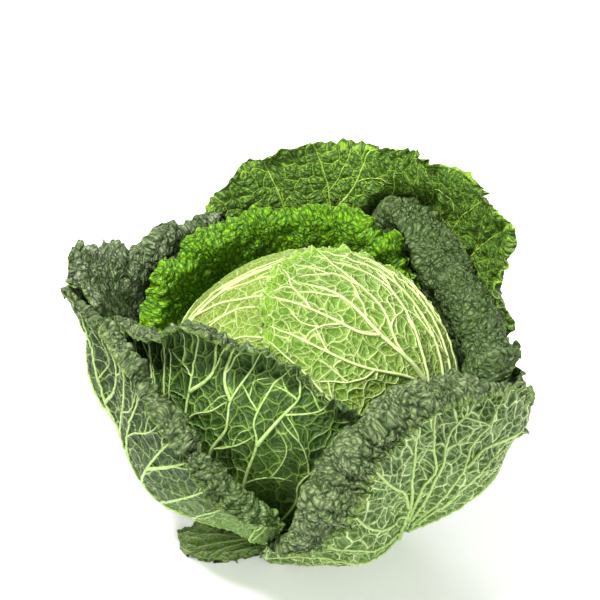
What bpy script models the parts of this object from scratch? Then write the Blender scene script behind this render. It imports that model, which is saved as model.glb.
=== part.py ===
"""Savoy cabbage: a ball of pale head leaves on a cut stalk, inside nine loose outer leaves.

Metres, +Z up. The stalk's cut face is the flat spot it stands on, at the origin. The plant leans
to -X. Leaves are first shaped in millimetres in the plant's own frame, whose +Z is the stalk's
axis and where an azimuth of 0 faces -Y and 90 faces +X.
"""
import bmesh
import bpy
import numpy as np

MM = 0.001

# the plant
LEAN = np.radians(10.5)
HEAD_HEIGHT = 96.0
HEAD_RADIUS = 85.0
HEART_RADIUS = 75.4
STALK_RADIUS = 13.0
STALK_TOP = 13.5

# leaf blades
BLADE = 1.1
RIB = 4.2
BLISTER = 2.4
HEAD_BLADE = 0.9
HEAD_RIB = 3.0
HEAD_BLISTER = 1.0
LAYER = 5.2
AIR = 0.7
FLOOR = 0.5
MARGIN = 0.25
FORM = 33

# sight colours
OUTER_GREEN = (0.075, 0.17, 0.04, 1)
COLLAR_GREEN = (0.09, 0.30, 0.02, 1)
HEAD_GREEN = (0.36, 0.55, 0.11, 1)
STALK_GREEN = (0.50, 0.60, 0.28, 1)

# Head leaves lie on the head: azimuth and polar angle of the middle, half length, half width,
# radius of the inner face, and how far the margin frills outwards.
HEAD_LEAVES = {
    "head_leaf_back": (-150, 52, 92, 78, 77.4, 0.0),
    "head_leaf_right": (145, 52, 92, 80, 80.2, 0.0),
    "head_leaf_left": (-82, 50, 94, 82, 83.0, 0.6),
    "head_leaf_front": (52, 58, 88, 72, 86.0, 2.5),
}

# Outer leaves, from the inside out. Each row of "rows" holds a place on the leaf (across, up, in
# -1 to 1, tip at 0, 1) and where that place stands: azimuth, radius and height. The margin
# outside those places rolls out: "turn" is its angle and "wide" its width, by the angle round
# the leaf from the tip; "tight" is the radius of the roll.
OUTER_LEAVES = {
    "leaf_collar": dict(
        seed=2, ruffle=3.0, tight=8, size=18,
        rows=[
            (0, -1, -165, 15, 22), (0, -0.5, -165, 70, 54), (0, 0, -165, 93, 110),
            (0, 0.5, -168, 91, 142), (0, 1, -169, 86, 164), (-0.5, 0.87, -145, 86, 160),
            (-0.8, 0.6, -131, 88, 157), (-0.97, 0.25, -124, 91, 148), (-1, 0, -117, 92, 138),
            (-0.95, -0.3, -108, 92, 108), (-0.75, -0.66, -120, 72, 56), (0.5, 0.87, 165, 88, 159),
            (0.8, 0.6, 151, 90, 148), (0.97, 0.25, 145, 91, 140), (1, 0, 143, 93, 129),
            (0.95, -0.3, 140, 93, 100), (0.75, -0.66, 150, 72, 56),
        ],
        turn=[(0, 110), (90, 100), (-90, 100), (180, 0)],
        wide=[(0, 14), (180, 8)],
    ),
    "leaf_front_left": dict(
        seed=5, ruffle=2.5, tight=7, size=19,
        rows=[
            (0, -1, -45, 17, 16), (0, -0.55, -45, 62, 38), (0, 0, -45, 90, 107),
            (0, 0.5, -58, 88, 139), (0, 1, -69, 82, 161), (0.5, 0.87, -36, 75, 173),
            (0.8, 0.6, -19, 71, 161), (0.97, 0.25, -1, 78, 145), (1, 0, 8, 86, 132),
            (0.93, -0.36, 18, 92, 112), (0.75, -0.66, 12, 72, 44), (0.45, -0.89, 0, 40, 20),
            (-0.7, 0.7, -88, 92, 150), (-1, 0, -88, 96, 105), (-0.75, -0.66, -78, 74, 54),
            (0.5, 0, -13, 91, 129), (-0.45, -0.89, -75, 40, 24),
        ],
        turn=[(0, 120), (45, 135), (90, 110), (-60, 70), (-90, 30), (180, 0)],
        wide=[(0, 18), (45, 18), (90, 14), (180, 6)],
    ),
    "leaf_right": dict(
        seed=7, ruffle=2.0, tight=12, size=17,
        rows=[
            (0, -1, 105, 17, 12), (0, -0.5, 105, 72, 46), (0, 0, 105, 93, 84),
            (0, 0.5, 104, 91, 106), (0, 1, 104, 88, 119), (-0.5, 0.87, 125, 91, 136),
            (-0.8, 0.6, 143, 96, 152), (-1, 0, 150, 100, 120), (-0.75, -0.66, 140, 78, 58),
            (0.5, 0.87, 90, 89, 108), (0.8, 0.6, 78, 92, 98), (1, 0, 74, 94, 80),
            (0.75, -0.66, 75, 74, 42),
        ],
        turn=[(0, 180), (-50, 180), (40, 175), (75, 110), (105, 20), (-85, 90), (180, 0)],
        wide=[(0, 42), (-50, 38), (50, 38), (90, 10), (180, 6)],
    ),
    "leaf_left_back": dict(
        seed=3, ruffle=4.0, tight=9, size=17,
        rows=[
            (0, -1, -125, 17, 13), (0, -0.5, -125, 80, 54), (0, 0, -122, 106, 112),
            (0, 0.5, -111, 109, 163), (0, 1, -114, 112, 178), (-0.5, 0.87, -102, 116, 189),
            (-0.8, 0.6, -98, 112, 174), (-0.97, 0.25, -99, 105, 150), (-1, 0, -100, 101, 123),
            (-0.75, -0.66, -106, 74, 56), (0.5, 0.87, -133, 110, 169), (0.8, 0.6, -147, 111, 167),
            (0.97, 0.25, -156, 112, 161), (1, 0, -162, 110, 135), (0.75, -0.66, -158, 78, 60),
        ],
        turn=[(0, 60), (90, 40), (-90, 60), (180, 0)],
        wide=[(0, 10), (180, 6)],
    ),
    "leaf_back": dict(
        seed=1, ruffle=3.5, tight=9, size=19,
        rows=[
            (0, -1, 150, 19, 8), (0, -0.5, 150, 86, 54), (0, 0, 160, 112, 118),
            (0, 0.5, 150, 118, 159), (0, 1, 145, 122, 190), (-0.5, 0.87, 166, 123, 193),
            (-0.8, 0.6, -176, 125, 190), (-0.97, 0.25, -166, 125, 180), (-1, 0, -157, 123, 167),
            (-0.9, -0.43, -158, 112, 118), (-0.75, -0.66, -165, 88, 68), (0.5, 0.87, 130, 120, 188),
            (0.8, 0.6, 99, 124, 178), (0.97, 0.25, 97, 125, 163), (1, 0, 99, 120, 138),
            (0.9, -0.43, 102, 112, 98), (0.75, -0.66, 108, 90, 56),
        ],
        turn=[(0, 20), (90, 30), (-90, 20), (180, 0)],
        wide=[(0, 4), (180, 4)],
    ),
    "leaf_right_low": dict(
        seed=9, ruffle=3.0, tight=9, size=17,
        rows=[
            (0, -1, 85, 17, 6), (0, -0.5, 85, 72, 34), (0, 0, 86, 100, 64), (0, 0.5, 86, 106, 79),
            (0, 1, 84, 108, 90), (-0.7, 0.7, 110, 110, 84), (-1, 0, 122, 104, 60),
            (-0.75, -0.66, 122, 72, 32), (0.7, 0.7, 68, 101, 96), (1, 0, 58, 96, 70),
            (0.75, -0.66, 55, 70, 38),
        ],
        turn=[(0, 50), (180, 0)],
        wide=[(0, 10), (180, 5)],
    ),
    "leaf_left": dict(
        seed=4, ruffle=3.0, tight=6, size=19,
        rows=[
            (0, -1, -80, 19, 12), (0, -0.55, -78, 84, 42), (0, 0, -80, 109, 94),
            (0, 0.5, -80, 104, 134), (0, 1, -79, 100, 166), (0.5, 0.87, -71, 97, 170),
            (0.8, 0.6, -54, 99, 162), (0.97, 0.25, -44, 100, 145), (1, 0, -36, 102, 130),
            (0.95, -0.3, -30, 103, 114), (0.8, -0.6, -23, 100, 96), (0.5, -0.87, -22, 80, 71),
            (-0.7, 0.7, -108, 104, 152), (-1, 0, -124, 105, 98), (-0.75, -0.66, -110, 82, 48),
            (-0.4, -0.91, -100, 42, 25), (0.1, -0.9, -78, 40, 24),
        ],
        turn=[
            (0, 90), (20, 120), (60, 145), (90, 150), (120, 145), (150, 60), (-30, 50),
            (-90, 20), (180, 0),
        ],
        wide=[(0, 14), (45, 14), (90, 19), (120, 24), (150, 16), (180, 6), (-60, 10)],
    ),
    "leaf_bottom": dict(
        seed=8, ruffle=1.5, tight=9, size=15,
        rows=[
            (0, -1, -80, 24, 3), (0, -0.4, -80, 52, 9), (0, 0.3, -80, 76, 14), (0, 1, -78, 86, 18),
            (-0.7, 0.7, -92, 84, 20), (-1, 0, -112, 66, 12), (-0.7, -0.7, -112, 34, 5),
            (0.7, 0.7, -70, 72, 14), (1, 0, -68, 58, 11), (0.7, -0.7, -66, 34, 6),
        ],
        turn=[(0, 20), (180, 0)],
        wide=[(0, 6), (180, 4)],
    ),
    "leaf_front_right": dict(
        seed=6, ruffle=2.5, tight=9, size=21,
        rows=[
            (0, -1, 75, 17, 4), (0, -0.78, 75, 37, 8), (0.02, -0.45, 52, 60, 33),
            (0, 0, 40, 92, 81), (0, 0.5, 43, 102, 107), (0, 1, 46, 104, 125),
            (-0.5, 0.87, 31, 102, 134), (-0.8, 0.6, 20, 102, 128), (-0.97, 0.25, 11, 102, 116),
            (-1, 0, 5, 103, 103), (-0.95, -0.3, -1, 96, 83), (-0.85, -0.53, -12, 80, 54),
            (-0.7, -0.71, -50, 54, 14), (-0.4, -0.92, -15, 30, 5), (0.5, 0.87, 61, 109, 108),
            (0.8, 0.6, 80, 115, 82), (0.97, 0.25, 84, 117, 63), (1, 0, 84, 112, 53),
            (0.9, -0.43, 85, 92, 36), (0.75, -0.66, 87, 68, 18), (0.4, -0.92, 105, 30, 2),
        ],
        turn=[
            (0, 155), (28, 130), (45, 90), (60, 40), (76, 10), (90, 0), (-30, 160), (-60, 160), (-90, 158),
            (-108, 140), (-130, 20), (135, 0), (180, 0),
        ],
        wide=[
            (0, 27), (28, 17), (44, 5), (60, 3), (76, 12), (90, 9), (-60, 37), (-90, 44), (-105, 38),
            (-124, 8), (180, 5),
        ],
    ),
}


def cylinder_point(azimuth, radius, height):
    a = np.radians(azimuth)
    return np.stack([radius * np.sin(a), -radius * np.cos(a), height], -1)


def to_world(p, lean=LEAN):
    c, s = np.cos(lean), np.sin(lean)
    x, y, z = p[..., 0], p[..., 1], p[..., 2]
    return np.stack([x * c - z * s, y, x * s + z * c], -1)


def unit(v):
    return v / np.maximum(np.linalg.norm(v, axis=-1), 1e-9)[..., None]


def head_profile(polar):
    """Radius of the head seen from its middle, against its width: round above, drawn in below."""
    low = np.clip((polar - np.pi / 2) / (np.pi / 2), 0, 1)
    return 1 - 0.17 * np.sin(low * np.pi) + 0.04 * low**2


def leaf_places(n):
    """A square grid laid on a round leaf, as (across, up)."""
    u, v = np.meshgrid(np.linspace(-1, 1, n), np.linspace(-1, 1, n))
    return np.stack([u * np.sqrt(1 - v * v / 2), v * np.sqrt(1 - u * u / 2)], -1)


def springy(p, places):
    d = np.linalg.norm(p[..., None, :] - places, axis=-1)
    return d * d * np.log(np.maximum(d, 1e-9))


def bent_sheet(rows, p):
    """The smoothest bent sheet through the rows, at places p."""
    rows = np.array(rows, float)
    places, middle = rows[:, :2], rows[0, 2]
    values = rows[:, 2:].copy()
    values[:, 0] = (values[:, 0] - middle + 180) % 360 - 180
    n = len(rows)
    side = np.hstack([np.ones((n, 1)), places])
    top = np.hstack([springy(places, places) + 0.02 * np.eye(n), side])
    whole = np.vstack([top, np.hstack([side.T, np.zeros((3, 3))])])
    w = np.linalg.solve(whole, np.vstack([values, np.zeros((3, 3))]))
    v = springy(p, places) @ w[:n] + w[n] + p @ w[n + 1:]
    return cylinder_point(v[..., 0] + middle, np.maximum(v[..., 1], 9), v[..., 2])


def round_table(table, angle):
    t = np.array(sorted(table), float)
    a = np.concatenate([t[-1:, 0] - 360, t[:, 0], t[:1, 0] + 360])
    v = np.concatenate([t[-1:, 1], t[:, 1], t[:1, 1]])
    i = np.clip(np.searchsorted(a, angle, side="right") - 1, 0, len(a) - 2)
    u = (angle - a[i]) / (a[i + 1] - a[i])
    u = u * u * (3 - 2 * u)
    return v[i] * (1 - u) + v[i + 1] * u


def softened(a):
    b = np.pad(a, [(1, 1), (1, 1)] + [(0, 0)] * (a.ndim - 2), mode="edge")
    return (b[:-2, 1:-1] + b[2:, 1:-1] + b[1:-1, :-2] + b[1:-1, 2:] + 2 * b[1:-1, 1:-1]) / 6


def normals_of(grid):
    """Normals weighted by the cells' areas, so that the flat corner cells don't turn them."""
    return unit(softened(np.cross(np.gradient(grid, axis=1), np.gradient(grid, axis=0))))


def outer_blade(leaf, p):
    """Points of an outer leaf at places p, its margin rolled out."""
    rows = leaf["rows"]
    q = np.linalg.norm(p, axis=-1)
    way = np.where(q[..., None] > 1e-9, p / np.maximum(q, 1e-9)[..., None], np.array([0.0, 1.0]))
    inner = 1 - MARGIN
    q0 = (np.minimum(q, inner) / inner)[..., None]
    at = bent_sheet(rows, way * q0)
    d = 0.02
    out = unit(at - bent_sheet(rows, way * (q0 - d)))
    psi = np.arctan2(way[..., 0], way[..., 1])
    around = bent_sheet(rows, np.stack([np.sin(psi + d), np.cos(psi + d)], -1) * q0) - at
    first, right, above = bent_sheet(rows, np.array([[0, 0], [0.1, 0], [0, 0.1]]))
    facing = np.dot(np.cross(right - first, above - first), first - [0, 0, HEAD_HEIGHT])
    normal = -np.sign(facing) * unit(np.cross(out, around))
    turn = np.maximum(np.radians(round_table(leaf["turn"], np.degrees(psi))), 0.02)
    wide = round_table(leaf["wide"], np.degrees(psi))
    r = np.minimum(wide / turn, np.maximum(leaf["tight"], 0.3 / turn))
    run = np.maximum((q - inner) / MARGIN, 0) * wide
    a = np.minimum(run / r, turn)
    rest = (run - r * a)[..., None]
    a, r = a[..., None], r[..., None]
    rolled = r * (np.sin(a) * out + (1 - np.cos(a)) * normal)
    return at + rolled + rest * (np.cos(a) * out + np.sin(a) * normal)


def ruffled(leaf, p):
    """The leaf with waves that grow towards the margin and leave the stalk end smooth."""
    rng = np.random.default_rng(leaf["seed"])
    inward = p * 0.985
    grid = outer_blade(leaf, inward)
    across = outer_blade(leaf, inward + [0.015, 0]) - grid
    along = outer_blade(leaf, inward + [0, 0.015]) - grid
    normal = unit(np.cross(across, along))
    grid = outer_blade(leaf, p)
    q = np.linalg.norm(p, axis=-1)
    psi = np.arctan2(p[..., 0], p[..., 1])
    s = 0
    for k, a in ((5, 0.5), (8, 0.7), (11, 0.8), (15, 0.6)):
        s = s + a * np.sin(k * psi + rng.uniform(0, 2 * np.pi) + 2.0 * q)
    grow = np.clip((q - 0.45) / 0.55, 0, 1) ** 2 * np.clip((p[..., 1] + 1) / 0.5, 0, 1)
    return grid + normal * (leaf["ruffle"] * s * grow)[..., None]


def head_blade(leaf, p):
    """Points of a head leaf: a round patch of the head, its margin frilled outwards."""
    azimuth, polar, long, wide, radius, frill = leaf
    a, b = np.radians(azimuth), np.radians(polar)
    middle = np.array([np.sin(b) * np.sin(a), -np.sin(b) * np.cos(a), np.cos(b)])
    up = np.array([-np.cos(b) * np.sin(a), np.cos(b) * np.cos(a), np.sin(b)])
    across = np.cross(middle, up) * -1
    x, y = p[..., 0] * wide / radius, p[..., 1] * long / radius
    far = np.maximum(np.hypot(x, y), 1e-9)[..., None]
    way = (x[..., None] * across + y[..., None] * up) / far
    ray = np.cos(far) * middle + np.sin(far) * way
    q = np.linalg.norm(p, axis=-1)
    psi = np.arctan2(p[..., 0], p[..., 1])
    wavy = 0.5 + 0.3 * np.sin(17 * psi) + 0.2 * np.sin(29 * psi + 1)
    upper = np.clip((p[..., 1] + 0.3) / 0.5, 0, 1)
    lift = frill * wavy * upper * np.clip((q - 0.8) / 0.2, 0, 1) ** 2
    size = radius * head_profile(np.arccos(np.clip(ray[..., 2], -1, 1))) + lift
    return np.array([0, 0, HEAD_HEIGHT]) + ray * size[..., None]


AZIMUTHS, POLARS = 240, 120


def sky_of(p):
    """Which way each point lies from the head's middle, as map indices, and how far."""
    v = p - np.array([0, 0, HEAD_HEIGHT])
    r = np.linalg.norm(v, axis=-1)
    polar = np.arccos(np.clip(v[..., 2] / np.maximum(r, 1e-9), -1, 1))
    azimuth = np.arctan2(v[..., 0], -v[..., 1]) % (2 * np.pi)
    i = np.minimum((polar / np.pi * POLARS).astype(int), POLARS - 1)
    j = np.minimum((azimuth / (2 * np.pi) * AZIMUTHS).astype(int), AZIMUTHS - 1)
    return i, j, r


def resampled(grid, n):
    m = grid.shape[0]
    t = np.linspace(0, m - 1, n)
    i = np.minimum(t.astype(int), m - 2)
    f = (t - i)[:, None, None]
    g = grid[i] * (1 - f) + grid[i + 1] * f
    f = (t - i)[None, :, None]
    return g[:, i] * (1 - f) + g[:, i + 1] * f


def widened(a):
    b = np.pad(a, 1, mode="edge")
    h, w = a.shape
    return np.max([b[i:i + h, j:j + w] for i in range(3) for j in range(3)], axis=0)


def room_at(p):
    """How much of a full layer a leaf takes: little where the stalk ends pack together."""
    t = np.clip((np.hypot(p[..., 0], p[..., 1]) - 14) / 46, 0, 1)
    t = np.maximum(t, np.clip((p[..., 2] - 40) / 30, 0, 1))
    return 0.42 + 0.58 * t * t * (3 - 2 * t)


def rooms_of(forms):
    """The free depth outside and inside every point of every leaf, to the next leaf there."""
    rooms = {}
    skies = {name: sky_of(resampled(form, 193)) for name, form in forms.items()}
    inner = np.zeros((POLARS, AZIMUTHS))
    polar = (np.arange(POLARS) + 0.5) / POLARS * np.pi
    inner[:] = (HEART_RADIUS * head_profile(polar))[:, None]
    order = list(forms)
    for number, name in enumerate(order):
        outer = np.full((POLARS, AZIMUTHS), 1e3)
        for later in order[number + 1:]:
            i, j, r = skies[later]
            np.minimum.at(outer, (i, j), r)
        i, j, r = sky_of(forms[name])
        rooms[name] = np.stack([-around_of(-outer, i, j) - r, r - around_of(inner, i, j)], -1)
        i, j, r = skies[name]
        np.maximum.at(inner, (i, j), r)
    return rooms


def around_of(sky, i, j):
    """The highest of a sky map's nine cells round each place."""
    wrapped = np.concatenate([sky[:, -2:], sky, sky[:, :2]], axis=1)
    return widened(wrapped)[:, 2:-2][i, j]


def all_forms():
    """Every leaf as a grid of points in the plant's frame, each outer one clear of those inside."""
    centre = np.array([0, 0, HEAD_HEIGHT])
    p = leaf_places(FORM)
    forms = {}
    reach = np.zeros((POLARS, AZIMUTHS))
    for name, leaf in HEAD_LEAVES.items():
        forms[name] = head_blade(leaf, p)
        i, j, r = sky_of(resampled(forms[name], 193))
        np.maximum.at(reach, (i, j), r)
    for name, leaf in OUTER_LEAVES.items():
        g = ruffled(leaf, p)
        for _ in range(3):
            i, j, r = sky_of(g)
            need = around_of(reach, i, j)
            push = np.where(need > 0, np.maximum(need + LAYER * room_at(g) - r, 0), 0)
            push = softened(softened(softened(widened(push))))
            g = g + unit(g - centre) * push[..., None]
        world = to_world(g)
        world[..., 2] = np.maximum(world[..., 2], FLOOR + BLADE)
        g = to_world(world, -LEAN)
        forms[name] = g
        i, j, r = sky_of(resampled(g, 193))
        np.maximum.at(reach, (i, j), r)
    return forms


def plain_material(name, colour, roughness):
    material = bpy.data.materials.new(name)
    material.use_nodes = True
    shader = material.node_tree.nodes["Principled BSDF"]
    shader.inputs["Base Color"].default_value = colour
    shader.inputs["Roughness"].default_value = roughness
    return material


def leaf_object(name, form, room, n, blade, rib, blister, colour, seed):
    """A leaf solid: a grid bent to its form, ribs along every second column, blisters between.

    Ribs and blisters stand out in full where the leaf is free and broad, and less where another
    leaf lies on it or where it is drawn together.
    """
    grid = resampled(form, n)
    room = resampled(room, n)
    across, along = np.gradient(grid, axis=1), np.gradient(grid, axis=0)
    longer = np.maximum(np.linalg.norm(across, axis=-1), np.linalg.norm(along, axis=-1))
    tight = -widened(-np.linalg.norm(np.cross(across, along), axis=-1) / longer)
    outside = np.clip(0.62 * (room[..., 0] - blade - AIR), 0, 0.45 * tight)
    inside = np.clip(0.38 * (room[..., 1] - blade - AIR), 0, 0.3 * tight)
    out = normals_of(grid)
    away = np.sum(out * (grid - np.array([0, 0, HEAD_HEIGHT])), axis=-1).mean()
    out = out if away > 0 else -out
    rng = np.random.default_rng(seed)
    rows, columns = np.mgrid[0:n, 0:n]
    ribs = (columns - (n - 1) // 2) % 2 == 0
    bump = rng.uniform(0.6, 1.0, (n, n)) * np.where((rows + columns // 2) % 2 == 0, 0.8, -1)
    bump = np.clip(bump * blister, -inside, outside)
    bump[ribs] = 0
    grid = grid + out * bump[..., None]
    world = to_world(grid)
    raised = np.where(ribs, (rib - blade) * np.where(rows % 2 == 0, 1.0, 0.75), 0)
    raised = np.where(rows > n - 3, 0.5 * raised, raised)
    raised = np.clip(raised, 0, outside)
    raised = np.minimum(raised, np.maximum(world[..., 2] - FLOOR - blade - 0.2, 0))
    world[..., 2] = np.maximum(world[..., 2], FLOOR + blade)
    share = blade / rib
    swell = raised / (rib - blade)
    mesh = bmesh.new()
    bmesh.ops.create_grid(mesh, x_segments=n - 1, y_segments=n - 1, size=1)
    layer = mesh.verts.layers.deform.verify()
    for vert in mesh.verts:
        i = round((vert.co.y + 1) / 2 * (n - 1))
        j = round((vert.co.x + 1) / 2 * (n - 1))
        vert.co = world[i, j] * MM
        vert[layer][0] = float(swell[i, j])
    bmesh.ops.triangulate(mesh, faces=mesh.faces[:], quad_method="SHORT_EDGE")
    if away < 0:
        bmesh.ops.reverse_faces(mesh, faces=mesh.faces[:])
    data = bpy.data.meshes.new(name)
    mesh.to_mesh(data)
    mesh.free()
    thing = bpy.data.objects.new(name, data)
    cabbage.objects.link(thing)
    thing.vertex_groups.new(name="rib")
    data.materials.append(plain_material(name, colour, 0.6))
    solid = thing.modifiers.new("Blade", "SOLIDIFY")
    solid.thickness = rib * MM
    solid.offset = 1
    solid.vertex_group = "rib"
    solid.thickness_vertex_group = share
    solid.use_even_offset = False
    return thing


def heart_object():
    """The packed inner leaves as one body of revolution, drawn in below."""
    mesh = bmesh.new()
    bmesh.ops.create_uvsphere(mesh, u_segments=26, v_segments=16, radius=1)
    for vert in mesh.verts:
        ray = np.array(vert.co.normalized())
        size = HEART_RADIUS * head_profile(np.arccos(np.clip(ray[2], -1, 1)))
        point = np.array([0, 0, HEAD_HEIGHT]) + ray * size
        vert.co = to_world(point) * MM
    bmesh.ops.triangulate(mesh, faces=mesh.faces[:])
    data = bpy.data.meshes.new("heart")
    mesh.to_mesh(data)
    mesh.free()
    thing = bpy.data.objects.new("heart", data)
    cabbage.objects.link(thing)
    data.materials.append(plain_material("heart", HEAD_GREEN, 0.5))


def stalk_object():
    """The stub of the stalk, cut flat across the bottom."""
    mesh = bmesh.new()
    bmesh.ops.create_cone(
        mesh, cap_ends=True, segments=32, radius1=STALK_RADIUS, radius2=STALK_RADIUS * 0.9,
        depth=STALK_TOP,
    )
    for vert in mesh.verts:
        z = vert.co.z + STALK_TOP / 2
        wobble = 1 + 0.05 * np.sin(3 * np.arctan2(vert.co.y, vert.co.x) + 0.4)
        point = np.array([vert.co.x * wobble, vert.co.y * wobble, z])
        vert.co = np.array([point[0] - z * np.tan(LEAN), point[1], z]) * MM
    data = bpy.data.meshes.new("stalk")
    mesh.to_mesh(data)
    mesh.free()
    thing = bpy.data.objects.new("stalk", data)
    cabbage.objects.link(thing)
    data.materials.append(plain_material("stalk", STALK_GREEN, 0.6))


for thing in list(bpy.data.objects):
    bpy.data.objects.remove(thing, do_unlink=True)
cabbage = bpy.data.collections.new("savoy_cabbage")
bpy.context.scene.collection.children.link(cabbage)

stalk_object()
heart_object()
forms = all_forms()
HEAD_SIZES = {
    "head_leaf_back": 13,
    "head_leaf_right": 13,
    "head_leaf_left": 15,
    "head_leaf_front": 19,
}
rooms = rooms_of(forms)
for number, (name, n) in enumerate(HEAD_SIZES.items()):
    leaf_object(
        name, forms[name], rooms[name], n, HEAD_BLADE, HEAD_RIB, HEAD_BLISTER, HEAD_GREEN,
        20 + number,
    )
for name, leaf in OUTER_LEAVES.items():
    colour = COLLAR_GREEN if name == "leaf_collar" else OUTER_GREEN
    leaf_object(
        name, forms[name], rooms[name], leaf["size"], BLADE, RIB, BLISTER, colour, leaf["seed"],
    )
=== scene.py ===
import bpy
import numpy as np
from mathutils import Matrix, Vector


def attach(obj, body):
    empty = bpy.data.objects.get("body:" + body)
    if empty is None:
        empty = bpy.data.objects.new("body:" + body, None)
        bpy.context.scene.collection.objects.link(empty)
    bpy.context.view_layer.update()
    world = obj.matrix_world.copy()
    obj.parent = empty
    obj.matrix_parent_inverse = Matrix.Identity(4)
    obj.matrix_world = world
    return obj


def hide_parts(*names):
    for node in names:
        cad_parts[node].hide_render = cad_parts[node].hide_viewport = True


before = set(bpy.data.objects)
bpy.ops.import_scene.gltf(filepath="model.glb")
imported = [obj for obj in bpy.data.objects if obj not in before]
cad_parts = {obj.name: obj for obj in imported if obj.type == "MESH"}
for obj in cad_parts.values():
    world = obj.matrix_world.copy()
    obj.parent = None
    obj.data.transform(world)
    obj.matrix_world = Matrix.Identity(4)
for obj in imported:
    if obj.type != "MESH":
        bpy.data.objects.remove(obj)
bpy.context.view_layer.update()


# The stalk. The stub of the stem that the leaves grow from, cut across with a knife when the
# head was picked. Firm pale flesh inside a greener rind, with the wet ends of the fibres showing
# as fine dots on the cut.
MM = 0.001
LEAN = np.radians(10.5)
STALK_PROFILE = (
    (4.0, 0.0), (8.0, 0.0), (10.5, 0.0), (12.2, 0.0), (12.8, 0.25), (13.0, 0.9), (12.9, 2.5),
    (12.7, 5.0), (12.4, 8.0), (12.0, 11.0), (11.5, 13.0), (10.5, 13.5), (6.0, 13.5),
)
STALK_TOP = STALK_PROFILE[-1][1]
STALK_TURNS = 96


def to_world(p, lean=LEAN):
    """From the plant's own frame, whose +Z is the stalk's axis, to the shared one."""
    c, s = np.cos(lean), np.sin(lean)
    x, y, z = p[..., 0], p[..., 1], p[..., 2]
    return np.stack([x * c - z * s, y, x * s + z * c], -1)


def halves(a, b, c, d):
    """Two triangles for each four-sided cell with those corners."""
    cells = np.stack([a, b, c, d], -1).reshape(-1, 4)
    return np.concatenate([cells[:, [0, 1, 2]], cells[:, [0, 2, 3]]])


def ring_faces(count, turns):
    """Triangles that join each of some rings of points to the next."""
    first = np.arange(count - 1)[:, None] * turns
    a, b = first + np.arange(turns), first + np.roll(np.arange(turns), -1)
    return halves(a, b, b + turns, a + turns)


def capped(rings, caps):
    """Points and triangles of a stack of rings, closed at each end by one point."""
    count, turns = rings.shape[:2]
    a = np.arange(turns)
    b = np.roll(a, -1)
    last = (count - 1) * turns
    below = np.c_[b, a, 0 * a + count * turns]
    above = np.c_[last + a, last + b, 0 * a + count * turns + 1]
    points = np.concatenate([rings.reshape(-1, 3), caps])
    return points, np.concatenate([ring_faces(count, turns), below, above])


def placed(name, data):
    thing = bpy.data.objects.new(name, data)
    bpy.context.scene.collection.objects.link(thing)
    return thing


def grown(name, node, slot, points, faces, skins, skin_of_face=0, flat_faces=slice(0)):
    """A piece in a node's place, from points in millimetres in the shared frame."""
    mesh = bpy.data.meshes.new(name)
    mesh.from_pydata(points * MM, [], faces)
    for skin in skins:
        mesh.materials.append(skin)
    smooth = np.ones(len(faces), bool)
    smooth[flat_faces] = False
    mesh.polygons.foreach_set("use_smooth", smooth)
    kinds = np.broadcast_to(skin_of_face, len(faces)).astype(np.int32)
    mesh.polygons.foreach_set("material_index", kinds)
    mesh.validate()
    piece = placed(name, mesh)
    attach(piece, "root")
    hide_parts(node)
    return piece


def fill(tree, node, **inputs):
    """Sets a node's own settings, in small letters, and its inputs, by name or number."""
    for key, value in inputs.items():
        if key[0].islower():
            setattr(node, key, value)
            continue
        socket = node.inputs[int(key[1:]) if key[0] == "_" else key.replace("_", " ")]
        if isinstance(value, bpy.types.NodeSocket):
            tree.links.new(value, socket)
        else:
            socket.default_value = (*value, 1) if socket.type == "RGBA" else value
    return node.outputs


def wired(name):
    """A new material, and shorthands for its shader, its nodes and their sums."""
    material = bpy.data.materials.new(name)
    material.use_nodes = True
    tree = material.node_tree

    def finish(**inputs):
        fill(tree, tree.nodes["Principled BSDF"], **inputs)

    def put(kind, output=0, **inputs):
        return fill(tree, tree.nodes.new("ShaderNode" + kind), **inputs)[output]

    def ramp(value, low, high, start=0.0, end=1.0, curve="SMOOTHSTEP"):
        return put(
            "MapRange", interpolation_type=curve, _0=value, _1=low, _2=high, _3=start, _4=end,
        )

    def blend(share, a, b):
        return put("Mix", 2, data_type="RGBA", _0=share, _6=a, _7=b)

    def math(kind, a, b):
        return put("Math", operation=kind, _0=a, _1=b)

    return material, finish, put, ramp, blend, math


def stalk_flesh():
    material, finish, put, ramp, blend, math = wired("stalk flesh")
    place = put("TexCoord", "Object")
    across = put("VectorMath", operation="MULTIPLY", _0=place, _1=(1, 1, 0))
    rind = ramp(put("VectorMath", "Value", operation="LENGTH", _0=across), 0.0085, 0.0118)
    grain = put("TexNoise", Vector=place, Scale=420.0, Detail=4.0)
    fibre = ramp(put("TexVoronoi", Vector=place, Scale=900.0), 0.0, 0.35, 1.0, 0.0)
    pith = blend(grain, (0.62, 0.68, 0.36), (0.74, 0.78, 0.52))
    pith = blend(math("MULTIPLY", fibre, 0.45), pith, (0.5, 0.56, 0.26))
    skin = blend(grain, (0.3, 0.44, 0.12), (0.46, 0.58, 0.24))
    height = math("ADD", grain, math("MULTIPLY", fibre, -0.5))
    bump = put("Bump", Strength=0.6, Distance=0.0004, Height=height)
    finish(Base_Color=blend(rind, pith, skin), Roughness=0.55, Normal=bump)
    return material


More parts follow.
